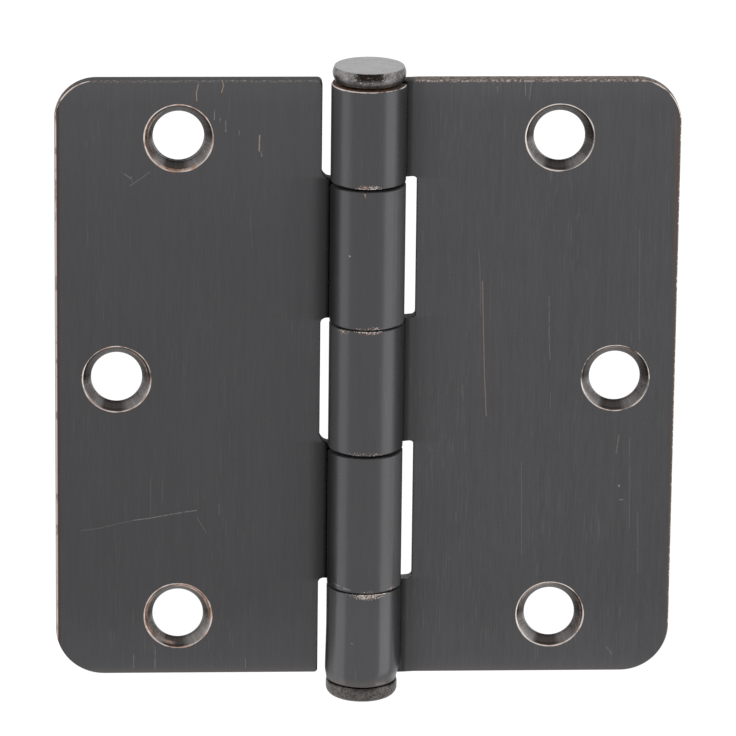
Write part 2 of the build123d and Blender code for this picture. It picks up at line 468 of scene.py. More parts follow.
def blank_lines(leaf):
    """Lines of the blank's grid along the sheet and up it, all drawn an edge rounding inside the outline."""
    fillets = np.array(leaf.slot_corners) + EDGE_ROUND
    root = leaf.slot_edge + EDGE_ROUND
    holes = np.array(leaf.holes)
    corner = {side: corner_lines(radius, CORNER_STEPS) for side, radius in leaf.corners.items()}
    mouth = {side: corner_lines(radius, SMALL_CORNER_STEPS) for side, radius in MOUTH_CORNERS.items()}
    free_corner = corner_lines(FREE_CORNER, SMALL_CORNER_STEPS)
    free_centre = GRID_END + FREE_CORNER - EDGE_ROUND

    curl = [free_centre - free_corner, [GRID_END + EDGE_STEP, CURL_START, root - fillets.max()]]
    opening = 1 - np.sin(np.linspace(0, math.pi / 2, FAN_STEPS + 1))
    fan = (root - np.unique(fillets)[:, None] * opening).ravel()
    plate = [
        root + mouth[-1].max() - mouth[-1],
        root + mouth[1].max() - mouth[1],
        [root + EDGE_STEP],
        holes[:, 0] - HOLE_BLOCK,
        holes[:, 0] + HOLE_BLOCK,
        HALF_WIDTH - leaf.corners[-1] + corner[-1],
        HALF_WIDTH - leaf.corners[1] + corner[1],
        [GRID_OUTER - EDGE_STEP],
    ]
    lines = [filled(np.concatenate(curl), CURL_STEP), fan, filled(np.concatenate(plate), PLATE_STEP)]
    along = np.unique(np.round(np.concatenate(lines), 5))

    levels = [
        HALF_HEIGHT - leaf.corners[1] + corner[1],
        leaf.corners[-1] - HALF_HEIGHT - corner[-1],
        [GRID_TOP - EDGE_STEP, EDGE_STEP - GRID_TOP],
        GRID_TOP - mouth[1].max() + mouth[1],
        mouth[-1].max() - mouth[-1] - GRID_TOP,
        holes[:, 1] - HOLE_BLOCK,
        holes[:, 1] + HOLE_BLOCK,
    ]
    spans = []
    near = np.concatenate([[0, EDGE_STEP], free_corner[-1] - free_corner])
    for (low, high), (low_fillet, high_fillet) in zip(leaf.knuckles, fillets):
        low_end = low <= -HALF_HEIGHT + SAME_LINE
        high_end = high >= HALF_HEIGHT - SAME_LINE
        tight = np.array([low + EDGE_ROUND, high - EDGE_ROUND])
        wide = tight + np.array([0 if low_end else -low_fillet, 0 if high_end else high_fillet])
        middle = [wide[0] + FAN_REACH, wide[1] - FAN_REACH]
        finger = [tight[0], *middle, tight[1]]
        root_levels = [wide[0], *middle, wide[1]]
        finger_lines = np.concatenate([tight[0] + near, tight[1] - near])
        levels.append(np.interp(finger_lines, finger, root_levels))
        spans.append((root_levels, finger))
    return along, filled(np.concatenate(levels), PLATE_STEP), spans


def leaf_surface(leaf):
    """One leaf: a grid over the flat blank, rounded at its corners, holed, given an edge, and folded.

    The grid is spanned by distance along the sheet and level up it. Between the knuckles its cells are left
    out, and beside them its lines fan out on a quarter circle. Towards the knuckles the grid creeps down by a
    smooth step. Front and back are the same grid at the sheet's two depths, joined by bands round the outline
    and through the screw holes.
    """
    along_lines, level_lines, spans = blank_lines(leaf)
    root = leaf.slot_edge + EDGE_ROUND
    root_column = int(np.argmin(np.abs(along_lines - root)))
    last_column = len(along_lines) - 1
    last_row = len(level_lines) - 1

    shift = np.zeros_like(level_lines)
    fillet = np.ones_like(level_lines)
    knuckle_cell = np.zeros(last_row, dtype=bool)
    knuckle_rows = []
    middles = (level_lines[:-1] + level_lines[1:]) / 2
    for (root_levels, finger), slot_corner in zip(spans, leaf.slot_corners):
        inside = (level_lines >= root_levels[0] - SAME_LINE) & (level_lines <= root_levels[-1] + SAME_LINE)
        shift = np.where(inside, np.interp(level_lines, root_levels, finger) - level_lines, shift)
        own_fillet = np.where(level_lines < sum(finger) / 4, *slot_corner) + EDGE_ROUND
        fillet = np.where(inside, own_fillet, fillet)
        knuckle_cell |= (middles > root_levels[0]) & (middles < root_levels[-1])
        rows = np.flatnonzero(inside)
        knuckle_rows.append((rows[0], rows[-1]))
    fan = np.sqrt(1 - np.clip((along_lines - root + fillet[:, None]) / fillet[:, None], 0, 1) ** 2)
    along = np.broadcast_to(along_lines, (last_row + 1, last_column + 1))
    level = level_lines[:, None] + shift[:, None] * fan

    for side, radius in leaf.corners.items():
        corner = radius - EDGE_ROUND
        centre = (GRID_OUTER - corner, side * (GRID_TOP - corner))
        along, level = round_corner(along, level, centre, (1, side), corner)
    free = FREE_CORNER - EDGE_ROUND
    for _, finger in spans:
        along, level = round_corner(along, level, (GRID_END + free, finger[0] + free), (-1, -1), free)
        along, level = round_corner(along, level, (GRID_END + free, finger[-1] - free), (-1, 1), free)
    for side, radius in MOUTH_CORNERS.items():
        if not any(abs(side * GRID_TOP - finger[end]) < SAME_LINE for _, finger in spans for end in (0, -1)):
            mouth = radius - EDGE_ROUND
            centre = (root + mouth, side * (GRID_TOP - mouth))
            along, level = round_corner(along, level, centre, (-1, side), mouth)

    ends = sorted(zip(np.ravel(leaf.knuckles), np.ravel(leaf.creep)))
    crept = np.interp(level, [end[0] for end in ends], [end[1] for end in ends])
    level = level - crept * eased((leaf.slot_edge + CREEP_START - along) / CREEP_LENGTH)

    surface = Surface()
    front = surface.add(fold(along, level, np.zeros_like(along)))
    back = surface.add(fold(along, level, np.full_like(along, SHEET)))
    present = knuckle_cell[:, None] | (np.arange(last_column) >= root_column)[None, :]
    for hole in leaf.holes:
        present &= screw_hole(surface, hole, front, back, along, level, along_lines, level_lines)
    surface.cells(front, present)
    surface.cells(back, present, flip=True)

    path = outline_path(knuckle_rows, root_column, last_column, last_row)
    outline_edge(surface, leaf, front[path], back[path], along[path], level[path])
    return surface


def outline_path(knuckle_rows, root_column, last_column, last_row):
    """Row and column numbers round the blank's outline, anticlockwise seen from the front."""
    left = [0 if any(rows[end] == row for rows in knuckle_rows) else root_column
            for end, row in ((0, 0), (1, last_row))]
    stretches = [
        (0, run(left[0], last_column)),
        (run(0, last_row), last_column),
        (last_row, run(last_column, left[1])),
    ]
    row = last_row
    for low, high in sorted(knuckle_rows, reverse=True):
        if high < row:
            stretches.append((run(row, high), root_column))
            stretches.append((high, run(root_column, 0)))
        stretches.append((run(high, low), 0))
        row = low
        if low > 0:
            stretches.append((low, run(0, root_column)))
    if row > 0:
        stretches.append((run(row, 0), root_column))
    return joined(stretches)


def outline_edge(surface, leaf, front_ring, back_ring, along, level):
    """The sheet's edge: the outline moved outward along its normals by a profile of two quarter rounds."""
    ahead = np.stack([np.roll(along, -1) - along, np.roll(level, -1) - level])
    ahead = ahead / np.hypot(*ahead)
    normal = np.stack([ahead[1], -ahead[0]])
    normal = normal + np.roll(normal, 1, axis=1)
    normal = normal / np.hypot(*normal)
    on_knuckle = along < CURL_START
    at_slot = along < leaf.slot_edge + SLOT_ZONE
    in_slot = at_slot & (np.abs(level) < HALF_HEIGHT - END_ZONE) & ~on_knuckle
    sharpness = np.where(in_slot, SLOT_ROUND, EDGE_ROUND)
    quarter = np.linspace(0, math.pi / 2, 5)[:, None]
    out = EDGE_ROUND - sharpness * (1 - np.sin(quarter))
    down = sharpness * (1 - np.cos(quarter))
    middle = SHEET * np.array(WALL_SHARES)[:, None] + 0 * sharpness
    edge_out = np.concatenate([out[1:], EDGE_ROUND + 0 * middle, out[:0:-1]])
    edge_depth = np.concatenate([down[1:], middle, SHEET - down[:0:-1]])
    bare = np.concatenate([np.sin(2 * quarter[1:]), [[0], [0]], np.sin(2 * quarter[:0:-1])])
    edge_along = along + edge_out * normal[0]
    edge_level = level + edge_out * normal[1]

    on_corner = np.all(np.abs(normal) > CORNER_SLANT, axis=0)
    at_top = level > HALF_HEIGHT - END_ZONE
    turn = CURL_FIRST_ANGLE + (CURL_START - along) / CURL_MIDDLE
    across = np.cos(turn)
    on_front = on_knuckle & (turn > FRONT_TURN)
    on_top = on_knuckle & at_top & (turn > TOP_RIM_TURN)
    amount = np.where(level < END_ZONE - HALF_HEIGHT, LOWER_WEAR, leaf.outer_wear)
    amount = np.where(at_top, leaf.top_wear, amount)
    amount = np.where(on_corner, np.where(level > 0, leaf.corner_wear, LOWER_CORNER_WEAR), amount)
    amount = np.where(at_slot | on_knuckle, SLOT_WEAR, amount)
    for rim, centre, reach, most in leaf.rubbed_rims:
        near = np.exp(-(((BARREL_RADIUS * across - centre) / reach) ** 4))
        on_rim = on_front & (np.abs(level - rim) < RIM_ZONE)
        amount = np.where(on_rim, np.maximum(amount, most * near), amount)
    top_rim = TOP_RIM_WEAR + TOP_RIM_LEFT * np.maximum(-across, 0) - TOP_RIM_RIGHT * np.maximum(across, 0)
    amount = np.where(on_top, top_rim, amount)
    ragged = np.where(on_corner, 0.0, np.where(on_top, TOP_RIM_RAGGED, 1.0))
    rings = surface.add(fold(edge_along, edge_level, edge_depth), wear=bare * amount, ragged=ragged)
    rings = np.concatenate([front_ring[None], rings, back_ring[None]])
    on_wall = np.isin(np.arange(len(rings) - 1), WALL_BANDS)
    surface.bands(rings, flip=True, sheared=on_wall[:, None])


def bend_between(start, corner, end, steps):
    """Points of a smooth turn from start to end, pulled towards a corner: a quadratic Bezier curve."""
    t = np.linspace(0, 1, steps + 1)[:, None]
    return (1 - t) ** 2 * np.array(start) + 2 * t * (1 - t) * np.array(corner) + t**2 * np.array(end)


def hole_profile(breakout):
    """Radius and depth down a screw hole, its wear, and the share of the way down: rim, cone, bore, back.

    The bore widens evenly from the cone to the back by the breakout.
    """
    half = math.radians(COUNTERSINK_ANGLE / 2)
    cone_depth = (RIM_RADIUS - HOLE_RADIUS) / math.tan(half)
    slope = np.array([-math.sin(half), math.cos(half)])
    rim = np.array([RIM_RADIUS, 0.0])
    throat = np.array([HOLE_RADIUS, cone_depth])
    brim = bend_between(rim + (RIM_ROUND, 0), rim, rim + RIM_ROUND * slope, 5)
    lip = bend_between(throat - HOLE_ROUND * slope, throat, throat + (0, HOLE_ROUND), 3)
    tail = np.array([HOLE_RADIUS + breakout, SHEET])
    back = bend_between(tail - (0, HOLE_ROUND), tail, tail + (HOLE_ROUND, 0), 3)
    cone = brim[-1] + (lip[0] - brim[-1]) * np.linspace(0, 1, 5)[1:-1, None]
    wear = np.concatenate([[0, 0.45, 0.9, 0.75, 0.2, 0], np.zeros(7), [0, 0.3, 0.3, 0]])
    shares = [np.linspace(0, 0.15, 6), [0.36, 0.58, 0.8], np.linspace(0.97, 1, 4), np.ones(4)]
    return np.concatenate([brim, cone, lip, back]), wear, np.concatenate(shares)


def screw_hole(surface, hole, front, back, along, level, along_lines, level_lines):
    """Cuts a square block out of both grids and fills it with rings that turn from square to round.

    A hole is a distance from the axis, a level, a breakout and a wear. A ring's point is the mix of the
    block's boundary point and the hole's circle point at the same angle. The hole's profile then carries the
    inner ring from the front to the back. Gives back the cells to keep.
    """
    from_axis, height, breakout, rim_wear = hole
    columns = [int(np.argmin(np.abs(along_lines - from_axis - side * HOLE_BLOCK))) for side in (-1, 1)]
    rows = [int(np.argmin(np.abs(level_lines - height - side * HOLE_BLOCK))) for side in (-1, 1)]
    path = joined(
        [
            (rows[0], run(*columns)),
            (run(*rows), columns[1]),
            (rows[1], run(*columns[::-1])),
            (run(*rows[::-1]), columns[0]),
        ]
    )
    square = np.stack([along[path] - from_axis, level[path] - height])
    direction = square / np.hypot(*square)

    profile, wear, down = hole_profile(breakout)
    turned = np.stack(np.broadcast_arrays(direction[0], direction[1], down[1:-1, None]), axis=-1)
    share = np.linspace(0, 1, HOLE_RINGS + 1)[:, None, None]
    rings = {}
    for name, radius, depth in (("front", profile[0, 0], 0.0), ("back", profile[-1, 0], SHEET)):
        flat = radius * direction + (square - radius * direction) * share
        inner = flat[:-1]
        depths = np.full(inner[:, 0].shape, depth)
        rings[name] = surface.add(fold(from_axis + inner[:, 0], height + inner[:, 1], depths))
    surface.bands(np.concatenate([rings["front"], front[path][None]]), flip=True)
    surface.bands(np.concatenate([rings["back"], back[path][None]]))

    radii = profile[1:-1, 0, None]
    wall_along = from_axis + radii * direction[0]
    wall_level = height + radii * direction[1]
    wall_depth = np.broadcast_to(profile[1:-1, 1, None], wall_along.shape)
    wall = surface.add(fold(wall_along, wall_level, wall_depth), rim_wear * wear[1:-1, None], turned)
    sheared = profile[:-1, 1] > SHEARED_DEPTH
    surface.bands(np.concatenate([rings["front"][:1], wall, rings["back"][:1]]), sheared=sheared[:, None])

    keep = np.ones((len(level_lines) - 1, len(along_lines) - 1), dtype=bool)
    keep[rows[0]:rows[1], columns[0]:columns[1]] = False
    return keep


def disc_end(surface, radius, level, sideways, upwards):
    """A flat round end: a square grid drawn to a disc, so that each square line about its middle is a circle.

    Both parameters run through tangents of even angles from minus to plus 45 degrees, and a point is drawn in
    by the larger of the two over their hypotenuse. Gives back the numbers round the rim.
    """
    lines = np.tan(np.linspace(-math.pi / 4, math.pi / 4, TURNED_STEPS // 4 + 1))
    across, back = np.meshgrid(lines, lines)
    pull = np.maximum(np.abs(across), np.abs(back)) / np.maximum(np.hypot(across, back), TINY)
    x = sideways + radius * across * pull
    y = radius * back * pull
    numbers = surface.add(np.stack([x, y, np.full_like(pull, level)], axis=-1))
    surface.cells(numbers, flip=not upwards)
    last = len(lines) - 1
    return numbers[joined([(0, run(0, last)), (run(0, last), last), (last, run(last, 0)), (run(last, 0), 0)])]


def turned_surface(profile):
    """A turned piece: a profile carried once round the pin axis, with a flat disc across each end.

    The profile's columns are radius, level, wear and a step sideways. A point lies at radius times the cosine
    of its angle plus the step, radius times the sine, and the level. The first angle is that of the discs'
    first corner.
    """
    surface = Surface()
    angle = 2 * math.pi * (np.arange(TURNED_STEPS) / TURNED_STEPS + DISC_CORNER)
    radius, level, wear, sideways = profile.T[..., None]
    top = disc_end(surface, radius[0, 0], level[0, 0], sideways[0, 0], True)
    low = disc_end(surface, radius[-1, 0], level[-1, 0], sideways[-1, 0], False)
    x = sideways + radius * np.cos(angle)
    y = radius * np.sin(angle)
    rings = surface.add(np.stack(np.broadcast_arrays(x, y, level), axis=-1)[1:-1], wear[1:-1])
    surface.bands(np.concatenate([top[None], rings, low[None]]), flip=True)
    return surface


def with_wear(points, wear):
    """Profile points with a column of wear and one of no step sideways."""
    points = np.array(points)
    return np.column_stack([points, np.broadcast_to(wear, len(points)), np.zeros(len(points))])


def pin_profile():
    """Down the pin: flat top, rounded edge, side bulged on a parabola, neck, ledge, shank, chamfered tip."""
    top = PIN_TOP
    tip = pin_low[2]
    seat = HALF_HEIGHT - TOP_CREEP
    share = np.linspace(0, 1, HEAD_STEPS + 1)[1:]
    height = top - HEAD_ROUND + (HEAD_UNDER + HEAD_ROUND - top + HEAD_ROUND) * share
    chord = HEAD_TOP_RADIUS + (HEAD_UNDER_RADIUS - HEAD_TOP_RADIUS) * share
    bulge = HEAD_RADIUS - (HEAD_TOP_RADIUS + HEAD_UNDER_RADIUS) / 2
    side = np.column_stack([chord + 4 * bulge * share * (1 - share), height])
    edge = bend_between(
        (HEAD_TOP_RADIUS - HEAD_ROUND, top),
        (HEAD_TOP_RADIUS, top),
        (HEAD_TOP_RADIUS, top - HEAD_ROUND),
        6,
    )
    under = bend_between(
        side[-1],
        (HEAD_UNDER_RADIUS, HEAD_UNDER),
        (HEAD_UNDER_RADIUS - HEAD_ROUND, HEAD_UNDER),
        5,
    )
    neck = [
        (NECK_RADIUS + NECK_BREAK, HEAD_UNDER),
        (NECK_RADIUS, HEAD_UNDER - NECK_BREAK),
        (NECK_RADIUS, seat + TURNED_BREAK),
        (NECK_RADIUS - TURNED_BREAK, seat),
        (SHANK_RADIUS + TURNED_BREAK, seat),
        (SHANK_RADIUS, seat - TURNED_BREAK),
    ]
    shank_levels = np.linspace(HALF_HEIGHT - 0.5, tip + TIP_CHAMFER + 0.1, SHANK_RINGS)
    shank = np.column_stack([np.full(SHANK_RINGS, SHANK_RADIUS), shank_levels])
    point = [
        (SHANK_RADIUS, tip + TIP_CHAMFER + TURNED_BREAK),
        (SHANK_RADIUS - TURNED_BREAK, tip + TIP_CHAMFER - TURNED_BREAK),
        (TIP_RADIUS + TURNED_BREAK, tip + TURNED_BREAK),
        (TIP_RADIUS - TURNED_BREAK, tip),
    ]
    return np.concatenate(
        [
            with_wear(edge, [0, 0.35, 0.6, 0.7, 0.6, 0.35, 0.2]),
            with_wear(side, 0.0),
            with_wear(under[1:], [0.3, 0.5, 0.5, 0.3, 0]),
            with_wear(neck, 0.0),
            with_wear(shank, 0.0),
            with_wear(point, [0.3, 0.6, 0.6, 0.3]),
        ]
    )


def plug_profile():
    """Down the plug: stub in the bore, groove under the knuckle, then the disc with its two rounded edges."""
    stub_top = plug_high[2]
    bottom = plug_low[2]
    stub = [
        (BORE_RADIUS - 0.2, stub_top),
        (BORE_RADIUS - 0.02, stub_top - 0.15),
        (BORE_RADIUS - 0.02, -HALF_HEIGHT - 0.1),
        (BORE_RADIUS, -HALF_HEIGHT - 0.2),
        (PLUG_RADIUS - 0.75, -HALF_HEIGHT - 0.22),
        (PLUG_RADIUS - 0.7, -HALF_HEIGHT - 0.27),
    ]
    shoulder = bend_between(
        (PLUG_RADIUS - 0.68, PLUG_TOP + 0.02),
        (PLUG_RADIUS, PLUG_TOP),
        (PLUG_RADIUS, PLUG_TOP - 1.5 * PLUG_TOP_ROUND),
        7,
    )
    wall_levels = np.linspace(PLUG_TOP - 0.6, bottom + PLUG_BOTTOM_ROUND + 0.05, 3)
    wall = np.column_stack([np.full(3, PLUG_RADIUS), wall_levels])
    angle = np.linspace(0, math.pi / 2, FOOT_STEPS + 1)
    foot = np.column_stack(
        [
            PLUG_RADIUS - PLUG_BOTTOM_ROUND * (1 - np.cos(angle)),
            bottom + PLUG_BOTTOM_ROUND * (1 - np.sin(angle)),
        ]
    )
    base = [(PLUG_RADIUS - PLUG_BOTTOM_ROUND - 0.1, bottom)]
    profile = np.concatenate(
        [
            with_wear(stub, 0.0),
            with_wear(shoulder, 0.15),
            with_wear(wall, 0.0),
            with_wear(foot, 0.2),
            with_wear(base, 0.0),
        ]
    )
    profile[:, 3] = PLUG_SIDEWAYS * eased((-HALF_HEIGHT - profile[:, 1]) / SIDEWAYS_LENGTH)
    return profile


class Share:
    """A value that varies over a piece. Arithmetic with it adds nodes to the finish that it belongs to."""

    def __init__(self, finish, socket):
        self.finish = finish
        self.socket = socket

    def __add__(self, other):
        return self.finish.sum("ADD", self, other)

    def __sub__(self, other):
        return self.finish.sum("SUBTRACT", self, other)

    def __mul__(self, other):
        return self.finish.sum("MULTIPLY", self, other)

    def __truediv__(self, other):
        return self.finish.sum("DIVIDE", self, other)

    def __abs__(self):
        return self.finish.sum("ABSOLUTE", self)

    def ramp(self, low, high, first=0.0, last=1.0):
        """A smooth step from first to last, as the value goes from low to high."""
        feeds = {"Value": self, "From Min": low, "From Max": high, "To Min": first, "To Max": last}
        return self.finish.value("ShaderNodeMapRange", feeds, "Result", interpolation_type="SMOOTHSTEP")

    def band(self, start, full, last, stop):
        """One while the value is from full to last, and smoothly down to nought at start and at stop."""
        return self.ramp(start, full) * self.ramp(stop, last)

    def tint(self, low, high, first, second):
        """A colour that goes smoothly from the first to the second, as the value goes from low to high."""
        return self.finish.mix(self.ramp(low, high), first, second)


class Finish:
    """A procedural finish: one shader, fed by noise, smooth steps, mixes and drawn marks in millimetres."""

    def __init__(self, name, **values):
        self.material = bpy.data.materials.new(name)
        self.material.use_nodes = True
        self.tree = self.material.node_tree
        self.shader = self.tree.nodes["Principled BSDF"]
        for socket, value in values.items():
            self.shader.inputs[socket.replace("_", " ")].default_value = value
        metres = self.value("ShaderNodeTexCoord", {}, "Object")
        self.place = self.vectors("SCALE", metres, 1 / MM)
        self.x, self.y, self.z = self.parts(self.place)
        self.colour = None

    def node(self, kind, feeds, **settings):
        """Adds a node with its settings, and sets or links its inputs."""
        node = self.tree.nodes.new(kind)
        for name, value in settings.items():
            setattr(node, name, value)
        for socket, value in feeds.items():
            if isinstance(value, Share):
                self.tree.links.new(value.socket, node.inputs[socket])
            else:
                node.inputs[socket].default_value = value
        return node

    def value(self, kind, feeds, output=0, **settings):
        """One output of a new node."""
        return Share(self, self.node(kind, feeds, **settings).outputs[output])

    def sum(self, operation, first, second=0.0, clamp=False):
        """One operation of arithmetic."""
        return self.value("ShaderNodeMath", {0: first, 1: second}, operation=operation, use_clamp=clamp)

    def vectors(self, operation, first, second=(0, 0, 0)):
        """One operation on vectors, which gives a number if it is a dot product, a distance or a length."""
        feeds = {0: first, "Scale" if operation == "SCALE" else 1: second}
        output = "Value" if operation in ("DOT_PRODUCT", "DISTANCE", "LENGTH") else "Vector"
        return self.value("ShaderNodeVectorMath", feeds, output, operation=operation)

    def parts(self, vector):
        """The three parts of a vector."""
        return [Share(self, part) for part in self.node("ShaderNodeSeparateXYZ", {0: vector}).outputs]

    def joined(self, **parts):
        """A vector of some parts, with nought for the others."""
        return self.value("ShaderNodeCombineXYZ", {name.upper(): part for name, part in parts.items()})

    def either(self, *values):
        """The largest of several shares."""
        largest = values[0]
        for value in values[1:]:
            largest = self.sum("MAXIMUM", largest, value)
        return largest

    def noise(self, scale, seed, detail=1.0, place=None, turn=(0, 0, 0), rough=0.5):
        """Noise with its own number of waves to the millimetre along each axis."""
        start = (seed, -seed, 2.3 * seed)
        feeds = {"Vector": place or self.place, "Location": start, "Rotation": turn, "Scale": scale}
        moved = self.value("ShaderNodeMapping", feeds)
        feeds = {"Vector": moved, "Scale": 1.0, "Detail": detail, "Roughness": rough}
        return self.value("ShaderNodeTexNoise", feeds, "Fac")

    def blend(self, share, first, second):
        """A value between two, by a share."""
        return self.value("ShaderNodeMix", {0: share, 2: first, 3: second})

    def mix(self, share, first, second):
        """A colour between two, by a share."""
        feeds = {0: share}
        for socket, colour in ((6, first), (7, second)):
            feeds[socket] = colour if isinstance(colour, Share) else (*colour, 1)
        return self.value("ShaderNodeMix", feeds, 2, data_type="RGBA")

    def coat(self, share, colour):
        """Lays a colour over the finish's own, by a share."""
        self.colour = self.mix(share, self.colour, colour)

    def attribute(self, name, output):
        """A value that the mesh carries."""
        return self.value("ShaderNodeAttribute", {}, output, attribute_name=name)

    def lines(self, scratches, flat):
        """How much of a point is scratched: a scratch is a run of straight lines, with a width and strength.

        The share falls smoothly from the strength on the line to nought at half the width from it.
        """
        shares = []
        for points, width, strength in scratches:
            for (x1, z1), (x2, z2) in zip(points[:-1], points[1:]):
                length = (x2 - x1) ** 2 + (z2 - z1) ** 2
                off = self.vectors("SUBTRACT", flat, (x1, 0, z1))
                ahead = ((x2 - x1) / length, 0, (z2 - z1) / length)
                share = self.sum("ADD", self.vectors("DOT_PRODUCT", off, ahead), 0.0, clamp=True)
                foot = self.vectors("SCALE", (x2 - x1, 0, z2 - z1), share)
                gap = self.vectors("DISTANCE", off, foot)
                shares.append(gap.ramp(width / 2, 0.0, 0.0, strength))
        return self.either(*shares)

    def spots(self, marks, flat):
        """How much of a point lies in some oval spots, each with a middle, two half sizes and a strength."""
        shares = []
        for (x, z), half_width, half_height, strength in marks:
            off = self.vectors("SUBTRACT", flat, (x, 0, z))
            off = self.vectors("MULTIPLY", off, (1 / half_width, 0, 1 / half_height))
            shares.append(self.vectors("LENGTH", off).ramp(1.0, 0.2, 0.0, strength))
        return self.either(*shares)

    def arcs(self, leaf, flat):
        """How much of a point is rubbed round a leaf's holes: each mark is an arc about a hole's middle.

        The share falls smoothly from a mark's strength on the arc to nought at half the width from it and
        past its two ends.
        """
        shares = []
        for hole, first, last, radius, width, strength in leaf.rubbed_arcs:
            off = self.vectors("SUBTRACT", flat, (leaf.side * leaf.holes[hole][0], 0, leaf.holes[hole][1]))
            far = self.vectors("LENGTH", off)
            middle = math.radians((first + last) / 2)
            half = math.radians((last - first) / 2)
            facing = self.vectors("DOT_PRODUCT", off, (math.cos(middle), 0, math.sin(middle))) / far
            along = facing.ramp(math.cos(half), math.cos(0.6 * half))
            shares.append(along * abs(far - radius).ramp(width / 2, 0.2 * width, 0.0, strength))
        return self.either(*shares)

    def feed(self, socket, value):
        """Links a value to the shader."""
        self.tree.links.new(value.socket, self.shader.inputs[socket])

    def bump(self, strength, distance, height):
        """Roughens the surface a little by a height, over a distance in metres."""
        feeds = {"Strength": strength, "Distance": distance, "Height": height}
        self.feed("Normal", self.value("ShaderNodeBump", feeds))

    def done(self):
        """Gives the shader the colour with all its coats, and the material to its piece."""
        self.feed("Base Color", self.colour)
        return self.material


def bronze(brightness):
    """The leaves' dark bronze at some brightness, slightly bluish."""
    return brightness, brightness, 1.04 * brightness


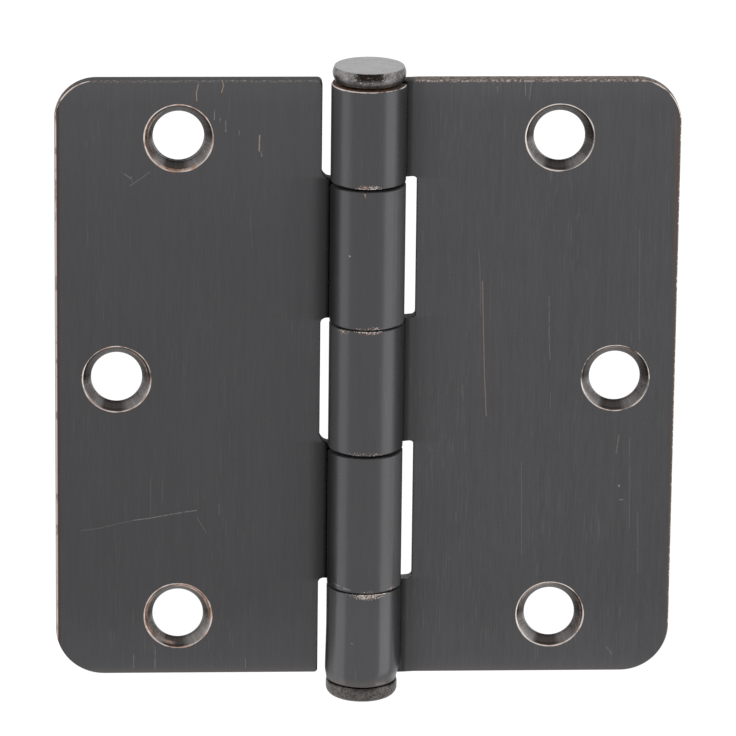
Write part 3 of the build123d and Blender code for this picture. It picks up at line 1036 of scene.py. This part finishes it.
def leaf_finish(name, leaf):
    """Dark bronze over steel: fine upright brushing and clouds, copper on the worn edges, scratches, and
    painted shade and highlights on the crease, barrel and countersinks.
    """
    finish = Finish(name, Metallic=1.0)
    x, y, z = finish.x, finish.y, finish.z
    flat = finish.joined(x=x, z=z)
    beside = abs(x)
    on_barrel = y.ramp(0.5, 0.2)

    # Brushing and clouds, lighter towards the ends and warmer along the lower edge
    brush = finish.noise((5.0, 5.0, 0.24), 3.1, 2.0)
    coarse = finish.noise((1.3, 1.3, 0.05), 11.7, 2.0)
    cloud = finish.noise((0.07, 0.07, 0.05), 5.3, 2.0)
    grain = finish.noise((6.0, 6.0, 3.0), 19.0, 1.0)
    shade = brush * 0.42 + coarse * 0.2 + (cloud * 0.16 + grain * 0.22)
    shade = finish.blend(y.ramp(0.5, 0.2, 0.0, 0.55), shade, 0.5)
    dark = bronze(leaf.tone * (1 - leaf.grain))
    pale = bronze(leaf.tone * (1 + leaf.grain))
    finish.colour = shade.tint(0.3, 0.7, dark, pale)
    light = z.ramp(-30.0, 30.0, 0.0, 0.04)
    for start, stop, share in leaf.ends:
        light = light + z.ramp(start, stop, 0.0, share)
    # The barrel a little lighter in tone, and the lowest knuckle's barrel lighter still as a painted sheen
    # for its brighter highlights
    barrel_light = z.ramp(-29.0, -34.0, 0.0, leaf.lowest_painted_sheen) + leaf.barrel_light
    light = light * y.ramp(0.2, 0.7) + on_barrel * barrel_light
    finish.coat(light, bronze(2.7 * leaf.tone))
    finish.coat(z.ramp(-43.2, -44.3, 0.0, 0.6), (0.112, 0.102, 0.097))

    # Hair lines in patches
    hairs = finish.noise((7.0, 7.0, 0.3), 41.0, 0.0)
    patches = finish.noise((0.12, 0.12, 0.06), 23.0, 1.0)
    finish.coat(hairs.ramp(0.68, 0.82) * patches.ramp(0.42, 0.62) * leaf.hairs, (0.2, 0.195, 0.195))

    # Painted shade in the crease beside the knuckles
    rows = [z.band(low - 0.9, low + 0.2, high - 0.5, high + 0.6) for low, high in leaf.knuckles]
    crease_shade = beside.ramp(14.0, 7.0, 0.0, 0.12)
    for start, stop, share in leaf.crease_shade:
        crease_shade = crease_shade + beside.ramp(start, stop, 0.0, share)
    crease_shade = crease_shade * beside.ramp(5.3, 5.8, 0.35, 1.0) * finish.either(*rows).ramp(0.0, 1.0, 0.2, 1.0)
    finish.coat(crease_shade * y.ramp(0.3, 0.75), (0.011, 0.011, 0.0115))

    # Brown band and rubbed brim at the outer edge, and the rubbed upper edge
    streaks = finish.noise((1.5, 1.5, 0.5), 61.0, 2.0)
    widened = beside + z.ramp(2.0, 28.0, *leaf.outer_band)
    outer = widened.ramp(HALF_WIDTH - 0.5, HALF_WIDTH - 0.2) * grain.ramp(0.25, 0.6, 0.6, 1.0)
    finish.coat(outer, leaf.outer_tone)
    upright = abs(z).ramp(40.5, 37.5)
    brim = beside.ramp(HALF_WIDTH - 0.36, HALF_WIDTH - 0.24) * upright * leaf.outer_rub
    finish.coat(brim * streaks.ramp(0.34, 0.46, 0.45, 1.0), (0.5, 0.45, 0.425))
    outermost = beside.ramp(HALF_WIDTH - 0.16, HALF_WIDTH - 0.05) * upright * leaf.outer_rub
    finish.coat(outermost, (0.24, 0.212, 0.197))
    brow = z.ramp(HALF_HEIGHT - 0.42, HALF_HEIGHT - 0.2) * beside.ramp(6.0, 7.0)
    chips = finish.noise((2.2, 2.2, 3.0), 67.0, 3.0, rough=0.6)
    rubbed_brow = chips.tint(0.44, 0.62, (0.13, 0.104, 0.094), (0.44, 0.385, 0.36))
    finish.coat(brow * leaf.top_rub, rubbed_brow)

    # Sides of the barrel: painted sheen on both sides, a painted highlight band on the free side, and painted
    # shade along the far edge
    painted_side_sheen = (0.19, 0.187, 0.19)
    outwards = x * -leaf.side
    free_side = outwards.ramp(3.7, 5.0) * on_barrel
    leaf_side = outwards.ramp(-3.7, -5.0) * on_barrel
    finish.coat(free_side * leaf.free_painted_sheen + leaf_side * 0.06, painted_side_sheen)
    finish.coat(outwards.band(3.5, 4.0, 4.45, 4.9) * on_barrel * leaf.free_painted_highlight, painted_side_sheen)
    # Painted shade, brownish, along the barrel's far edge
    finish.coat(outwards.ramp(5.0, 5.3) * on_barrel * 0.6, (0.035, 0.027, 0.024))

    # Countersinks, turned with fine chatter, with painted highlights where they face the lights
    around = finish.attribute("round_hole", "Vector")
    across, upwards, down = finish.parts(around)
    chatter = finish.noise((13.0, 13.0, 1.0), 7.0, 2.0, place=finish.joined(x=across, y=upwards))
    cone = chatter.tint(0.3, 0.7, (0.052, 0.047, 0.045), (0.073, 0.067, 0.064))
    cone = finish.mix(down.band(0.11, 0.2, 0.26, 0.42) * 0.75, cone, (0.03, 0.023, 0.02))
    for angle, least, share in leaf.cone_painted_highlight:
        towards = (leaf.side * math.cos(math.radians(angle)), math.sin(math.radians(angle)), 0)
        facing = finish.vectors("DOT_PRODUCT", around, towards).ramp(least, 0.97, 0.0, share)
        cone = finish.mix(facing * chatter.ramp(0.25, 0.75, 0.75, 1.0), cone, (0.37, 0.355, 0.348))
    finish.coat(down.ramp(0.0, 0.06), cone)

    # Scratches on the front
    front = y.ramp(1.2, 0.9)
    broken = finish.noise((2.5, 2.5, 1.3), 31.0, 2.0)
    pale_lines = finish.lines(leaf.pale_marks, flat) * broken.ramp(0.34, 0.5, 0.35, 1.0) * front
    copper_lines = finish.lines(leaf.copper_marks, flat) * broken.ramp(0.3, 0.46, 0.5, 1.0) * front
    finish.coat(pale_lines, (0.42, 0.4, 0.39))
    finish.coat(copper_lines, (0.5, 0.33, 0.27))

    # Specks beside the knuckles' rims, worn edges and rubbed arcs
    fine = finish.noise((6.4, 6.4, 7.6), 51.0, 2.0, rough=0.6)
    spread = finish.spots(leaf.rim_flecks, flat) * y.ramp(-1.0, -1.6)
    specks = (fine + spread * 0.2).ramp(0.66, 0.72) * spread.ramp(0.02, 0.2)
    speck_tint = finish.noise((1.8, 1.8, 1.8), 57.0, 1.0)
    finish.coat(specks, speck_tint.tint(0.42, 0.56, (0.42, 0.27, 0.21), (0.6, 0.53, 0.49)))
    flecks = finish.noise((2.6, 2.6, 2.6), 13.0, 3.0, rough=0.6).ramp(0.25, 0.75, 0.35, 1.65)
    even = finish.noise((0.45, 0.45, 0.45), 29.0, 2.0).ramp(0.3, 0.7, 0.55, 1.25)
    gain = finish.blend(finish.attribute("ragged", "Fac"), even, flecks)
    bare = (finish.attribute("wear", "Fac") * gain).ramp(0.4, 0.62)
    tint = finish.noise((0.7, 0.7, 0.7), 17.0, 2.0)
    share = leaf.copper_share
    finish.coat(bare, tint.tint(share - 0.12, share + 0.12, (0.42, 0.28, 0.22), (0.62, 0.545, 0.505)))
    rubbed = finish.arcs(leaf, flat) * broken.ramp(0.3, 0.5, 0.45, 1.0) * y.ramp(2.4, 2.0)
    finish.coat(rubbed, tint.tint(0.4, 0.6, (0.32, 0.2, 0.155), (0.52, 0.385, 0.33)))

    # Sheen, glossier on the lowest knuckle and duller on the barrel's sides
    barrel_side = free_side * 0.38 + leaf_side * leaf.leaf_side_sheen
    even_sheen = (grain + brush).ramp(0.7, 1.3, 0.23, 0.31)
    glossy_end = z.ramp(-22.0, -32.0, 0.0, -0.07) * on_barrel
    finish.feed("Roughness", even_sheen + glossy_end + barrel_side)
    finish.bump(0.08, 0.00002, brush * 0.7 + grain * 0.3)
    return finish.done()


def door_edge_finish():
    """The door leaf's sheared edge: dark grey, brown round the upper corner, burnished on the outside."""
    finish = Finish("door_leaf_sheared_edge", Metallic=0.0, Roughness=0.75, Specular_IOR_Level=0.12)
    x, y, z = finish.x, finish.y, finish.z
    speckle = finish.noise((3.0, 3.0, 3.0), 4.0, 3.0)
    finish.colour = speckle.tint(0.4, 0.7, (0.045, 0.044, 0.045), (0.08, 0.078, 0.079))
    around = x.ramp(-HALF_WIDTH + 7.5, -HALF_WIDTH + 5.5) * z.ramp(30.0, 36.0)
    finish.coat(around, speckle.tint(0.35, 0.65, (0.085, 0.055, 0.048), (0.15, 0.105, 0.093)))
    outer = x.ramp(-HALF_WIDTH + 1.2, -HALF_WIDTH + 0.3)
    finish.coat(outer, speckle.tint(0.35, 0.65, (0.07, 0.048, 0.042), (0.17, 0.125, 0.11)))
    streaks = finish.noise((1.0, 1.0, 0.5), 9.0, 2.0)
    burnished = outer * y.ramp(0.9, 1.5) * streaks.ramp(0.3, 0.5, 0.6, 1.0)
    finish.coat(burnished, (0.34, 0.305, 0.285))
    on_top = z.ramp(HALF_HEIGHT - 1.5, HALF_HEIGHT - 0.6) * x.ramp(-6.0, -7.0)
    even = speckle.tint(0.35, 0.65, (0.068, 0.067, 0.068), (0.094, 0.092, 0.093))
    finish.coat(on_top * y.ramp(2.9, 2.6), even)
    return finish.done()


def jamb_edge_finish():
    """The jamb leaf's sheared edge: grey in the slots, a painted highlight on the ledge at the lowest
    knuckle, brown on the top knuckle, rubbed on the outside.
    """
    finish = Finish("jamb_leaf_sheared_edge", Metallic=0.0, Roughness=0.7, Specular_IOR_Level=0.12)
    x, z = finish.x, finish.z
    speckle = finish.noise((2.6, 2.6, 2.6), 6.0, 4.0, rough=0.65)
    finish.colour = speckle.tint(0.4, 0.7, (0.05, 0.049, 0.05), (0.09, 0.088, 0.088))
    # A painted highlight on the sheared ledge at the lowest knuckle's top, beside the barrel
    ledge = z.band(-31.2, -30.7, -29.8, -29.2) * x.ramp(5.1, 5.5) * 0.85
    finish.coat(ledge, speckle.tint(0.4, 0.6, (0.14, 0.138, 0.142), (0.3, 0.297, 0.304)))
    knuckle_top = z.ramp(HALF_HEIGHT - 1.0, HALF_HEIGHT - 0.5) * x.ramp(5.0, 3.0)
    finish.coat(knuckle_top, speckle.tint(0.4, 0.6, (0.07, 0.04, 0.026), (0.2, 0.125, 0.09)))
    upper_edge = z.ramp(HALF_HEIGHT - 1.0, HALF_HEIGHT - 0.3) * x.ramp(5.5, 7.0)
    outside = finish.either(upper_edge, x.ramp(HALF_WIDTH - 6.0, HALF_WIDTH - 3.0))
    finish.coat(outside, speckle.tint(0.36, 0.66, (0.085, 0.062, 0.052), (0.28, 0.24, 0.215)))
    return finish.done()


def pin_finish():
    """Mottled dark bronze: brushed and made pale on the flat top as a painted reflection, patchy on the side
    of the head with painted shade low on it and a painted dark reflection on its front, darker below it.
    """
    finish = Finish("pin_bronze_finish", Metallic=1.0)
    x, y, z = finish.x, finish.y, finish.z

    # Side of the head
    patches = finish.noise((0.9, 0.9, 0.9), 3.0, 3.0)
    mottle = finish.noise((3.4, 3.4, 3.4), 8.0, 3.0, rough=0.6)
    speckle = finish.noise((7.0, 7.0, 7.0), 15.0, 1.0)
    mixed = patches * 0.5 + mottle * 0.5
    finish.colour = mixed.tint(0.36, 0.62, (0.1, 0.094, 0.091), (0.25, 0.242, 0.236))
    # The head's side darker towards its lower edge: painted shade where it turns downward
    finish.coat(z.ramp(HEAD_UNDER + 1.2, HEAD_UNDER + 0.4) * 0.66, (0.04, 0.035, 0.033))
    specks = speckle.ramp(0.62, 0.72) * patches.ramp(0.45, 0.6)
    finish.coat(specks * 0.7, (0.42, 0.38, 0.36))

    # Drawn shank, rubbed where the knuckles meet, and the brown neck
    drawn = finish.noise((3.5, 3.5, 0.12), 33.0, 3.0)
    smear = finish.noise((0.5, 0.5, 0.22), 45.0, 2.0)
    shank = drawn.tint(0.32, 0.68, (0.085, 0.072, 0.066), (0.15, 0.128, 0.118))
    shank = finish.mix(smear.ramp(0.5, 0.66, 0.0, 0.6), shank, (0.06, 0.054, 0.052))
    for seam in (30.0, 9.35, -9.55, -30.2):
        rubbed = abs(z - seam).ramp(1.6, 0.5) * mottle.ramp(0.36, 0.58) * 0.55
        shank = finish.mix(rubbed, shank, (0.3, 0.262, 0.24))
    neck = z.ramp(HALF_HEIGHT - 0.5, HALF_HEIGHT - 0.3)
    shank = finish.mix(neck, shank, mottle.tint(0.4, 0.6, (0.1, 0.055, 0.035), (0.3, 0.18, 0.125)))
    finish.coat(z.ramp(HEAD_UNDER + 0.1, HEAD_UNDER), shank)

    # Flat top pale as a painted reflection, then the painted dark reflection, nicks and worn edge of the head
    brush = finish.noise((0.35, 5.0, 1.0), 21.0, 2.0, turn=(0, 0, -0.12))
    painted_top_reflection = brush.tint(0.3, 0.7, (0.3, 0.298, 0.298), (0.4, 0.398, 0.397))
    finish.coat(z.ramp(PIN_TOP - 0.07, PIN_TOP - 0.02), painted_top_reflection)
    on_front = y.ramp(-3.0, -4.0)
    # A dark patch on the head's front: a painted reflection
    sideways = abs(x + 0.1) + mottle.ramp(0.3, 0.7, -0.7, 0.7)
    painted_dark_reflection = sideways.ramp(2.4, 1.6) * on_front * z.ramp(PIN_TOP - 1.7, PIN_TOP - 0.8)
    painted_dark_reflection = painted_dark_reflection * z.ramp(PIN_TOP - 0.01, PIN_TOP - 0.09) * mottle.ramp(0.28, 0.42)
    finish.coat(painted_dark_reflection, (0.02, 0.015, 0.012))
    finish.coat(finish.lines(HEAD_NICKS, finish.joined(x=x, z=z)) * on_front, (0.5, 0.46, 0.43))
    bare = (finish.attribute("wear", "Fac") * mottle.ramp(0.3, 0.7, 0.3, 1.7)).ramp(0.55, 0.9)
    finish.coat(bare * 0.6, (0.4, 0.36, 0.33))
    finish.feed("Roughness", mottle.ramp(0.3, 0.7, 0.34, 0.48))
    finish.bump(0.35, 0.00004, mottle)
    return finish.done()


def plug_finish():
    """Brownish dark bronze with a fine slanting texture, and painted shade, nearly black, in the groove under
    the knuckle.
    """
    finish = Finish("plug_bronze_finish", Metallic=1.0)
    z = finish.z
    slant = finish.noise((3.4, 3.4, 7.0), 6.0, 3.0, turn=(0.0, 0.6, 0.0), rough=0.65)
    mottle = finish.noise((1.5, 1.5, 1.5), 14.0, 3.0)
    shade = slant * 0.65 + mottle * 0.35
    finish.colour = shade.tint(0.38, 0.62, (0.04, 0.035, 0.032), (0.145, 0.132, 0.126))
    # Painted shade, nearly black, in the groove under the knuckle and over the middle of the plug's top
    groove = z.ramp(PLUG_TOP - 0.22, PLUG_TOP - 0.02)
    middle = abs(finish.x).ramp(2.6, 1.0, 0.0, 0.6) * z.ramp(PLUG_TOP - 0.8, PLUG_TOP - 0.4)
    finish.coat(finish.either(groove, middle), (0.025, 0.02, 0.017))
    finish.feed("Roughness", slant.ramp(0.3, 0.7, 0.36, 0.5))
    finish.bump(0.4, 0.00005, slant)
    return finish.done()


def piece(name, mesh, finishes, body, node):
    """Puts a finished mesh in the scene in place of a solid, on that solid's body."""
    thing = bpy.data.objects.new(name, mesh)
    bpy.context.scene.collection.objects.link(thing)
    for material in finishes:
        mesh.materials.append(material)
    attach(thing, body)
    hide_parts(node)


piece(
    "jamb_leaf_sheet",
    leaf_surface(JAMB).mesh("jamb_leaf_sheet"),
    [leaf_finish("jamb_leaf_bronze", JAMB), jamb_edge_finish()],
    "jamb_side",
    "jamb_leaf",
)
piece(
    "door_leaf_sheet",
    leaf_surface(DOOR).mesh("door_leaf_sheet", mirrored=True),
    [leaf_finish("door_leaf_bronze", DOOR), door_edge_finish()],
    "door_side",
    "door_leaf",
)
piece(
    "headed_pin",
    turned_surface(pin_profile()).mesh("headed_pin"),
    [pin_finish()],
    "pin",
    "hinge_pin",
)
piece(
    "knuckle_plug",
    turned_surface(plug_profile()).mesh("knuckle_plug"),
    [plug_finish()],
    "jamb_side",
    "bottom_plug",
)


def seen_strength(tree, base, seen):
    """A strength that is the base for light on the object, and more where a camera or reflected ray looks."""
    path = tree.nodes.new("ShaderNodeLightPath")
    looks = path.outputs["Is Camera Ray"]
    for name in ("Is Glossy Ray", "Is Transmission Ray"):
        larger = tree.nodes.new("ShaderNodeMath")
        larger.operation = "MAXIMUM"
        tree.links.new(looks, larger.inputs[0])
        tree.links.new(path.outputs[name], larger.inputs[1])
        looks = larger.outputs[0]
    strength = tree.nodes.new("ShaderNodeMapRange")
    strength.inputs["To Min"].default_value = base
    strength.inputs["To Max"].default_value = seen
    tree.links.new(looks, strength.inputs["Value"])
    return strength.outputs["Result"]


def white_surround():
    """A white world, a little dimmer as light on the hinge than to the camera."""
    world = bpy.data.worlds.new("white_surround")
    world.use_nodes = True
    background = world.node_tree.nodes["Background"]
    background.inputs["Color"].default_value = (1, 1, 1, 1)
    strength = seen_strength(world.node_tree, base=0.75, seen=1.0)
    world.node_tree.links.new(strength, background.inputs["Strength"])
    return world


def pale_floor(level, half_size):
    """A wide flat floor below the hinge, that reads as white."""
    corners = [(-half_size, -half_size, level), (half_size, -half_size, level),
               (half_size, half_size, level), (-half_size, half_size, level)]
    mesh = bpy.data.meshes.new("pale_floor")
    mesh.from_pydata(corners, [], [(0, 1, 2, 3)])
    material = bpy.data.materials.new("pale_floor")
    material.use_nodes = True
    shader = material.node_tree.nodes["Principled BSDF"]
    shader.inputs["Base Color"].default_value = (0.8, 0.8, 0.8, 1)
    shader.inputs["Roughness"].default_value = 0.9
    shader.inputs["Specular IOR Level"].default_value = 0.0
    shader.inputs["Emission Color"].default_value = (1, 1, 1, 1)
    strength = seen_strength(material.node_tree, base=0.0, seen=0.45)
    material.node_tree.links.new(strength, shader.inputs["Emission Strength"])
    mesh.materials.append(material)
    floor = bpy.data.objects.new("pale_floor", mesh)
    bpy.context.scene.collection.objects.link(floor)


def softbox(name, place, width, height, power):
    """A soft rectangular light that faces the hinge."""
    data = bpy.data.lights.new(name, "AREA")
    data.shape = "RECTANGLE"
    data.size = width
    data.size_y = height
    data.energy = power
    light = bpy.data.objects.new(name, data)
    bpy.context.scene.collection.objects.link(light)
    light.location = place
    light.rotation_euler = (-Vector(place)).to_track_quat("-Z", "Y").to_euler()
    light.visible_camera = False


scene = bpy.context.scene
scene.view_settings.view_transform = "Standard"
scene.world = white_surround()
pale_floor(level=-0.5, half_size=12.0)
softbox("right_softbox", (0.747, -0.287, -0.08), width=0.55, height=0.8, power=1.22)
softbox("left_softbox", (-0.79, -0.11, -0.08), width=0.6, height=0.8, power=0.8)

# The camera stands as the photograph's did: turns in radians, aim and distance in millimetres
yaw = -0.0527
pitch = 0.3030
roll = 0.0116
aim = (0.269, 0, 2.09)
distance = 898.8
camera_data = bpy.data.cameras.new("camera")
camera_data.sensor_width = 36
camera_data.lens = 307.3
camera_data.clip_end = 20
camera = bpy.data.objects.new("camera", camera_data)
scene.collection.objects.link(camera)
ahead = Vector((-math.sin(yaw) * math.cos(pitch), math.cos(yaw) * math.cos(pitch), -math.sin(pitch)))
level_right = Vector((math.cos(yaw), math.sin(yaw), 0))
level_up = level_right.cross(ahead)
right = math.cos(roll) * level_right + math.sin(roll) * level_up
up = math.cos(roll) * level_up - math.sin(roll) * level_right
eye = Vector(aim) * MM - ahead * distance * MM
camera.matrix_world = Matrix((
    (right.x, up.x, -ahead.x, eye.x),
    (right.y, up.y, -ahead.y, eye.y),
    (right.z, up.z, -ahead.z, eye.z),
    (0, 0, 0, 1),
))
scene.camera = camera
